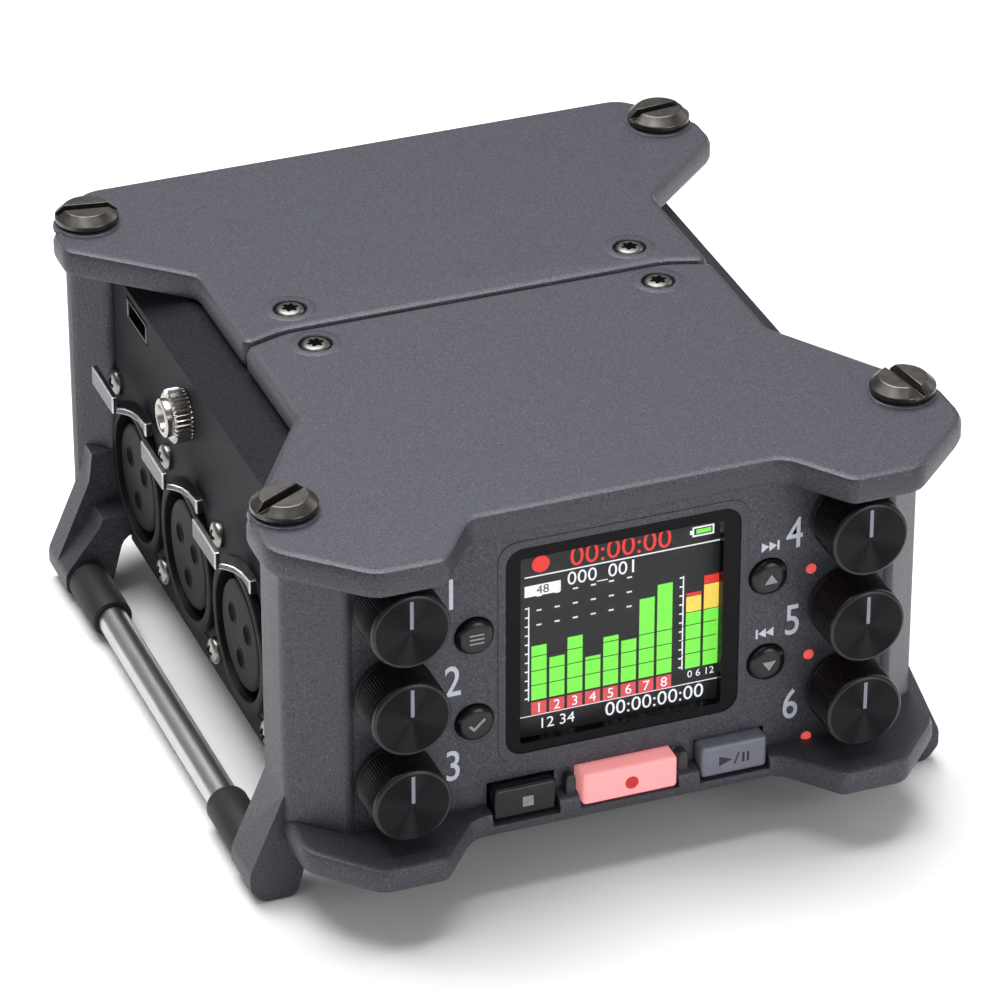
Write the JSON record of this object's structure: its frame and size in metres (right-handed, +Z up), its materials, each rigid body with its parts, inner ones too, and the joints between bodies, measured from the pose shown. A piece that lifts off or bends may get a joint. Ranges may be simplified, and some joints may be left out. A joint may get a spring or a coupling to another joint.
{
  "type": "portable field recorder",
  "caption": "Portable field recorder with level knobs, a screen and transport keys in front, microphone sockets with latches on both sides, and carrying rails on its legs.",
  "frame": {"origin": "middle of the box's underside, on the surface that the legs stand on", "axes": "+X to the recorder's right, front panel faces -Y, +Z up"},
  "size_m": [0.1046, 0.1188, 0.0634],
  "materials": {
    "casting": "cast, dark grey speckled powder coat",
    "side_panel": "satin black",
    "door": "satin black",
    "board": "printed circuit board",
    "screen": "colour display",
    "window": "clear polished",
    "rail": "brushed",
    "sleeve": "matt",
    "thumb_screw": "dark nickel",
    "plate_screw": "nickel",
    "knob": "satin black, spun face",
    "button": "gloss black",
    "stop_key": "gloss black",
    "record_key": "translucent, lit",
    "play_key": "translucent",
    "socket": "black",
    "latch": "nickel",
    "jack": "knurled nickel",
    "cell": "printed sleeve"
  },
  "bodies": {
    "body": {"front_frame": "casting", "rear_frame": "casting", "left_side_panel": "side_panel", "right_side_panel": "side_panel", "base_plate": "side_panel", "main_board": "board", "control_board": "board", "lcd_module": "screen", "lcd_window": "window", "left_rail": "rail", "right_rail": "rail", "left_front_sleeve": "sleeve", "left_rear_sleeve": "sleeve", "right_front_sleeve": "sleeve", "right_rear_sleeve": "sleeve", "left_front_plate_screw": "plate_screw", "left_rear_plate_screw": "plate_screw", "right_front_plate_screw": "plate_screw", "right_rear_plate_screw": "plate_screw", "input_socket_1": "socket", "input_socket_2": "socket", "input_socket_3": "socket", "input_socket_4": "socket", "input_socket_5": "socket", "input_socket_6": "socket", "headphone_jack": "socket", "usb_port": "latch", "line_out_jack": "jack", "cell_1": "cell", "cell_2": "cell", "cell_3": "cell", "cell_4": "cell"},
    "knob_1": {"knob_1": "knob"},
    "knob_2": {"knob_2": "knob"},
    "knob_3": {"knob_3": "knob"},
    "knob_4": {"knob_4": "knob"},
    "knob_5": {"knob_5": "knob"},
    "knob_6": {"knob_6": "knob"},
    "menu_button": {"menu_button": "button"},
    "enter_button": {"enter_button": "button"},
    "up_button": {"up_button": "button"},
    "down_button": {"down_button": "button"},
    "stop_key": {"stop_key": "stop_key"},
    "record_key": {"record_key": "record_key"},
    "play_key": {"play_key": "play_key"},
    "latch_1": {"latch_1": "latch"},
    "latch_2": {"latch_2": "latch"},
    "latch_3": {"latch_3": "latch"},
    "latch_4": {"latch_4": "latch"},
    "latch_5": {"latch_5": "latch"},
    "latch_6": {"latch_6": "latch"},
    "left_front_thumb_screw": {"left_front_thumb_screw": "thumb_screw"},
    "left_rear_thumb_screw": {"left_rear_thumb_screw": "thumb_screw"},
    "right_front_thumb_screw": {"right_front_thumb_screw": "thumb_screw"},
    "right_rear_thumb_screw": {"right_rear_thumb_screw": "thumb_screw"},
    "headphone_wheel": {"headphone_wheel": "knob"},
    "power_switch": {"power_switch": "socket"},
    "battery_door": {"battery_door": "door"},
    "card_door": {"card_door": "door"}
  },
  "joints": [
    {"name": "knob_1_turn", "type": "hinge", "parent": "body", "child": "knob_1", "pos_m": [-0.0335, -0.04915, 0.0488], "axis": [0, 1, 0], "range_deg": [-150, 150]},
    {"name": "knob_2_turn", "type": "hinge", "parent": "body", "child": "knob_2", "pos_m": [-0.0335, -0.04915, 0.0349], "axis": [0, 1, 0], "range_deg": [-150, 150]},
    {"name": "knob_3_turn", "type": "hinge", "parent": "body", "child": "knob_3", "pos_m": [-0.0335, -0.04915, 0.021], "axis": [0, 1, 0], "range_deg": [-150, 150]},
    {"name": "knob_4_turn", "type": "hinge", "parent": "body", "child": "knob_4", "pos_m": [0.0335, -0.04915, 0.0488], "axis": [0, 1, 0], "range_deg": [-150, 150]},
    {"name": "knob_5_turn", "type": "hinge", "parent": "body", "child": "knob_5", "pos_m": [0.0335, -0.04915, 0.0349], "axis": [0, 1, 0], "range_deg": [-150, 150]},
    {"name": "knob_6_turn", "type": "hinge", "parent": "body", "child": "knob_6", "pos_m": [0.0335, -0.04915, 0.021], "axis": [0, 1, 0], "range_deg": [-150, 150]},
    {"name": "menu_button_press", "type": "slide", "parent": "body", "child": "menu_button", "axis": [0, 1, 0], "range_m": [0, 0.0008], "stiffness_N_per_m": 400},
    {"name": "enter_button_press", "type": "slide", "parent": "body", "child": "enter_button", "axis": [0, 1, 0], "range_m": [0, 0.0008], "stiffness_N_per_m": 400},
    {"name": "up_button_press", "type": "slide", "parent": "body", "child": "up_button", "axis": [0, 1, 0], "range_m": [0, 0.0008], "stiffness_N_per_m": 400},
    {"name": "down_button_press", "type": "slide", "parent": "body", "child": "down_button", "axis": [0, 1, 0], "range_m": [0, 0.0008], "stiffness_N_per_m": 400},
    {"name": "stop_key_press", "type": "slide", "parent": "body", "child": "stop_key", "axis": [0, 1, 0], "range_m": [0, 0.0008], "stiffness_N_per_m": 500},
    {"name": "record_key_press", "type": "slide", "parent": "body", "child": "record_key", "axis": [0, 1, 0], "range_m": [0, 0.0008], "stiffness_N_per_m": 500},
    {"name": "play_key_press", "type": "slide", "parent": "body", "child": "play_key", "axis": [0, 1, 0], "range_m": [0, 0.0008], "stiffness_N_per_m": 500},
    {"name": "latch_1_press", "type": "hinge", "parent": "body", "child": "latch_1", "pos_m": [-0.0423, -0.011, 0.0359], "axis": [0, 1, 0], "range_deg": [-12, 0], "stiffness_Nm_per_rad": 0.05},
    {"name": "latch_2_press", "type": "hinge", "parent": "body", "child": "latch_2", "pos_m": [-0.0423, 0.0126, 0.0359], "axis": [0, 1, 0], "range_deg": [-12, 0], "stiffness_Nm_per_rad": 0.05},
    {"name": "latch_3_press", "type": "hinge", "parent": "body", "child": "latch_3", "pos_m": [-0.0423, 0.0362, 0.0359], "axis": [0, 1, 0], "range_deg": [-12, 0], "stiffness_Nm_per_rad": 0.05},
    {"name": "latch_4_press", "type": "hinge", "parent": "body", "child": "latch_4", "pos_m": [0.0423, -0.011, 0.0359], "axis": [0, -1, 0], "range_deg": [-12, 0], "stiffness_Nm_per_rad": 0.05},
    {"name": "latch_5_press", "type": "hinge", "parent": "body", "child": "latch_5", "pos_m": [0.0423, 0.0126, 0.0359], "axis": [0, -1, 0], "range_deg": [-12, 0], "stiffness_Nm_per_rad": 0.05},
    {"name": "latch_6_press", "type": "hinge", "parent": "body", "child": "latch_6", "pos_m": [0.0423, 0.0362, 0.0359], "axis": [0, -1, 0], "range_deg": [-12, 0], "stiffness_Nm_per_rad": 0.05},
    {"name": "left_front_thumb_screw_turn", "type": "hinge", "parent": "body", "child": "left_front_thumb_screw", "pos_m": [-0.0454, -0.0396, 0.0613], "axis": [0, 0, 1], "continuous": true},
    {"name": "left_rear_thumb_screw_turn", "type": "hinge", "parent": "body", "child": "left_rear_thumb_screw", "pos_m": [-0.0452, 0.0493, 0.0613], "axis": [0, 0, 1], "continuous": true},
    {"name": "right_front_thumb_screw_turn", "type": "hinge", "parent": "body", "child": "right_front_thumb_screw", "pos_m": [0.0454, -0.0396, 0.0613], "axis": [0, 0, 1], "continuous": true},
    {"name": "right_rear_thumb_screw_turn", "type": "hinge", "parent": "body", "child": "right_rear_thumb_screw", "pos_m": [0.0452, 0.0493, 0.0613], "axis": [0, 0, 1], "continuous": true},
    {"name": "headphone_wheel_turn", "type": "hinge", "parent": "body", "child": "headphone_wheel", "pos_m": [0.042, -0.009, 0.0466], "axis": [-1, 0, 0], "range_deg": [-150, 150]},
    {"name": "power_switch_slide", "type": "slide", "parent": "body", "child": "power_switch", "axis": [0, 1, 0], "range_m": [0, 0.003]},
    {"name": "battery_door_open", "type": "hinge", "parent": "body", "child": "battery_door", "pos_m": [0, 0.0283, 0.0101], "axis": [1, 0, 0], "range_deg": [0, 100]},
    {"name": "card_door_open", "type": "hinge", "parent": "body", "child": "card_door", "pos_m": [0, 0.0579, 0.0211], "axis": [-1, 0, 0], "range_deg": [0, 100]}
  ]
}
